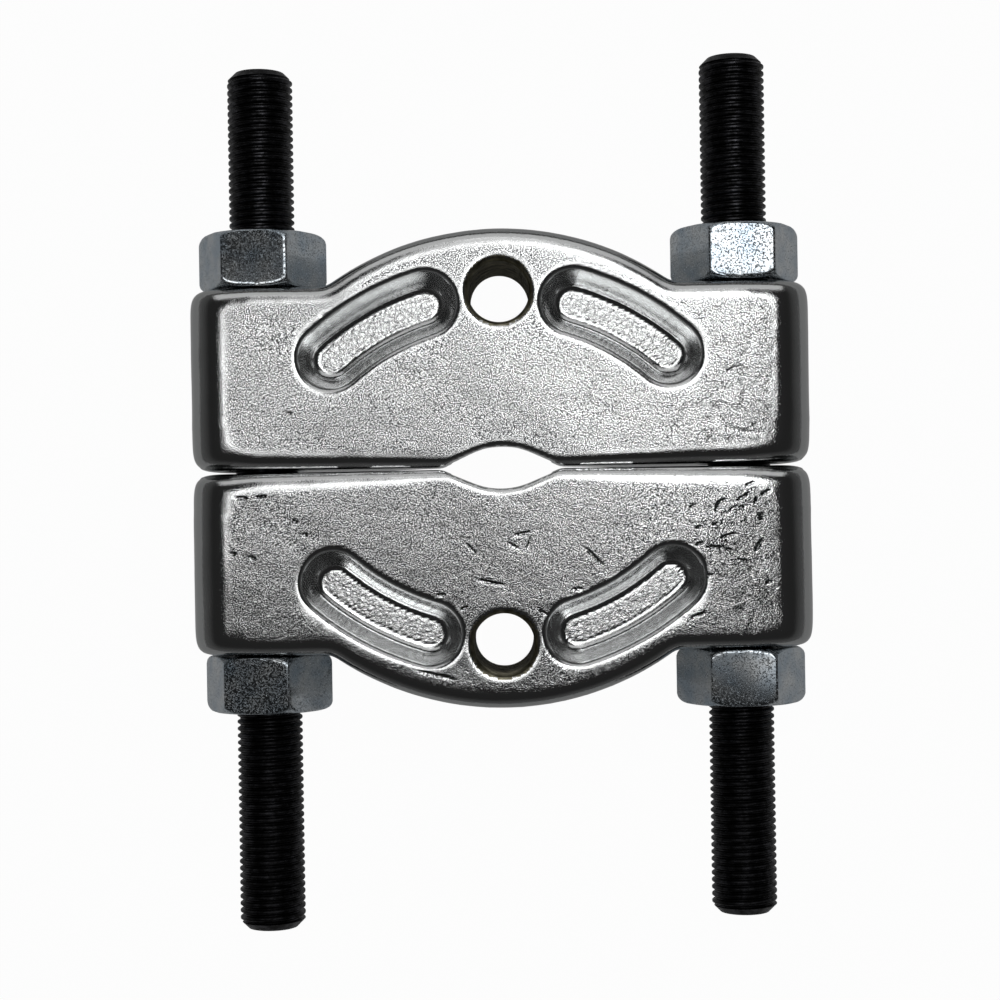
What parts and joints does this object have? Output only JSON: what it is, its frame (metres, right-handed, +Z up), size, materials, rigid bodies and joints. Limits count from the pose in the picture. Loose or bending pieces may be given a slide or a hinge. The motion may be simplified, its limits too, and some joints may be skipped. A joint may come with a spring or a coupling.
{
  "type": "bearing separator",
  "caption": "Bearing separator of a bearing puller: forged steel jaws with a wedge-edged opening, drawn together on threaded studs by hexagon nuts, with tapped holes for puller legs.",
  "frame": {"origin": "middle of the shaft opening between the jaws, on the surface that the separator lies on", "axes": "+X along the seam between the jaws, +Y along the studs towards the rear jaw, +Z up through the thickness"},
  "size_m": [0.1326, 0.1852, 0.028],
  "materials": {
    "plated_forging": "drop-forged steel with a bright plated skin over fine scale grain",
    "blackened_steel": "black oxide on rolled thread, dull with a slight oil sheen",
    "zinc_plated_nut": "bright zinc plating with a faint blue tint"
  },
  "bodies": {
    "rear_jaw": {"rear_jaw": "plated_forging"},
    "front_jaw": {"front_jaw": "plated_forging"},
    "left_stud": {"left_stud": "blackened_steel"},
    "right_stud": {"right_stud": "blackened_steel"},
    "rear_left_nut": {"rear_left_nut": "zinc_plated_nut"},
    "rear_right_nut": {"rear_right_nut": "zinc_plated_nut"},
    "front_left_nut": {"front_left_nut": "zinc_plated_nut"},
    "front_right_nut": {"front_right_nut": "zinc_plated_nut"}
  },
  "joints": [
    {"name": "rear_left_nut_turn", "type": "hinge", "parent": "rear_jaw", "child": "rear_left_nut", "pos_m": [-0.0508, 0.03882, 0.014], "axis": [0, 1, 0], "range_deg": [0, 8280]},
    {"name": "rear_right_nut_turn", "type": "hinge", "parent": "rear_jaw", "child": "rear_right_nut", "pos_m": [0.0508, 0.03882, 0.014], "axis": [0, 1, 0], "range_deg": [0, 8280]},
    {"name": "left_stud_slide", "type": "slide", "parent": "rear_jaw", "child": "left_stud", "axis": [0, -1, 0], "range_m": [0, 0.0345]},
    {"name": "right_stud_slide", "type": "slide", "parent": "rear_jaw", "child": "right_stud", "axis": [0, -1, 0], "range_m": [0, 0.0345]},
    {"name": "front_left_nut_turn", "type": "hinge", "parent": "front_jaw", "child": "front_left_nut", "pos_m": [-0.0508, -0.03882, 0.014], "axis": [0, -1, 0], "range_deg": [0, 10440]},
    {"name": "front_right_nut_turn", "type": "hinge", "parent": "front_jaw", "child": "front_right_nut", "pos_m": [0.0508, -0.03882, 0.014], "axis": [0, -1, 0], "range_deg": [0, 10440]},
    {"name": "front_jaw_slide", "type": "slide", "parent": "left_stud", "child": "front_jaw", "axis": [0, -1, 0], "range_m": [0, 0.0435]}
  ],
  "couplings": [
    {"joint": "right_stud_slide", "follows": "left_stud_slide", "ratio": 1},
    {"joint": "rear_left_nut_turn", "follows": "left_stud_slide", "rad_per_m": 4188.8},
    {"joint": "rear_right_nut_turn", "follows": "left_stud_slide", "rad_per_m": 4188.8},
    {"joint": "front_left_nut_turn", "follows": "front_jaw_slide", "rad_per_m": 4188.8},
    {"joint": "front_right_nut_turn", "follows": "front_jaw_slide", "rad_per_m": 4188.8}
  ]
}
